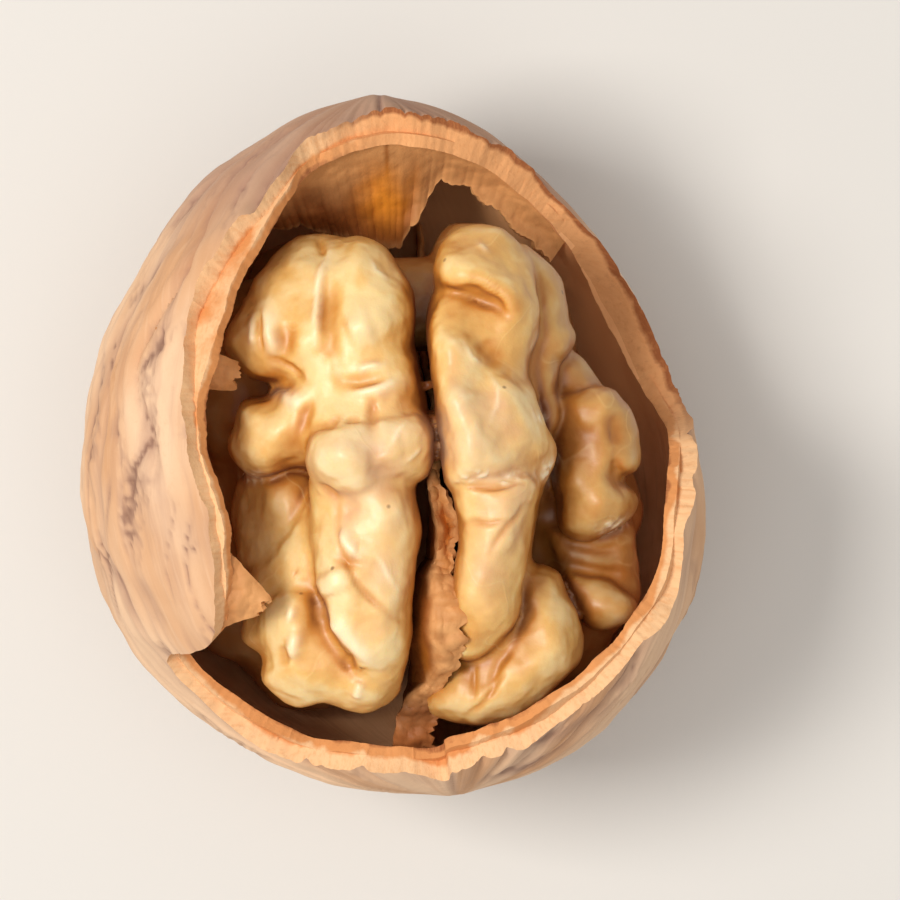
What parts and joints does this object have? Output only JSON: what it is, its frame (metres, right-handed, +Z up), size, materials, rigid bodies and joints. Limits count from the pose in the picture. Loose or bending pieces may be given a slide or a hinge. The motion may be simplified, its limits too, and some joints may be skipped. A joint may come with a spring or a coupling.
{
  "type": "cracked walnut with its kernel",
  "caption": "Walnut on its back, one side of the shell broken away so that the folded kernel, its papery partition and the torn lining show.",
  "frame": {"origin": "on the surface that the nut lies on, at the middle of its box", "axes": "+Z up, out of the broken opening; +Y along the nut's length towards its tip; +X across it"},
  "size_m": [0.0356, 0.0402, 0.0308],
  "materials": {
    "shell": "dry pale tan shell, mauve-brown in the furrows",
    "kernel": "cream to honey seed coat, smooth and slightly waxy",
    "partition": "thin papery husk, tan at its torn edge and amber-brown at its side",
    "lining": "torn fibrous lining, orange-tan with an amber patch"
  },
  "bodies": {
    "root": {"shell": "shell", "kernel": "kernel", "partition": "partition", "lining": "lining", "flake_upper_left": "lining", "flake_lower_left": "lining", "flake_bottom": "lining"}
  },
  "joints": []
}
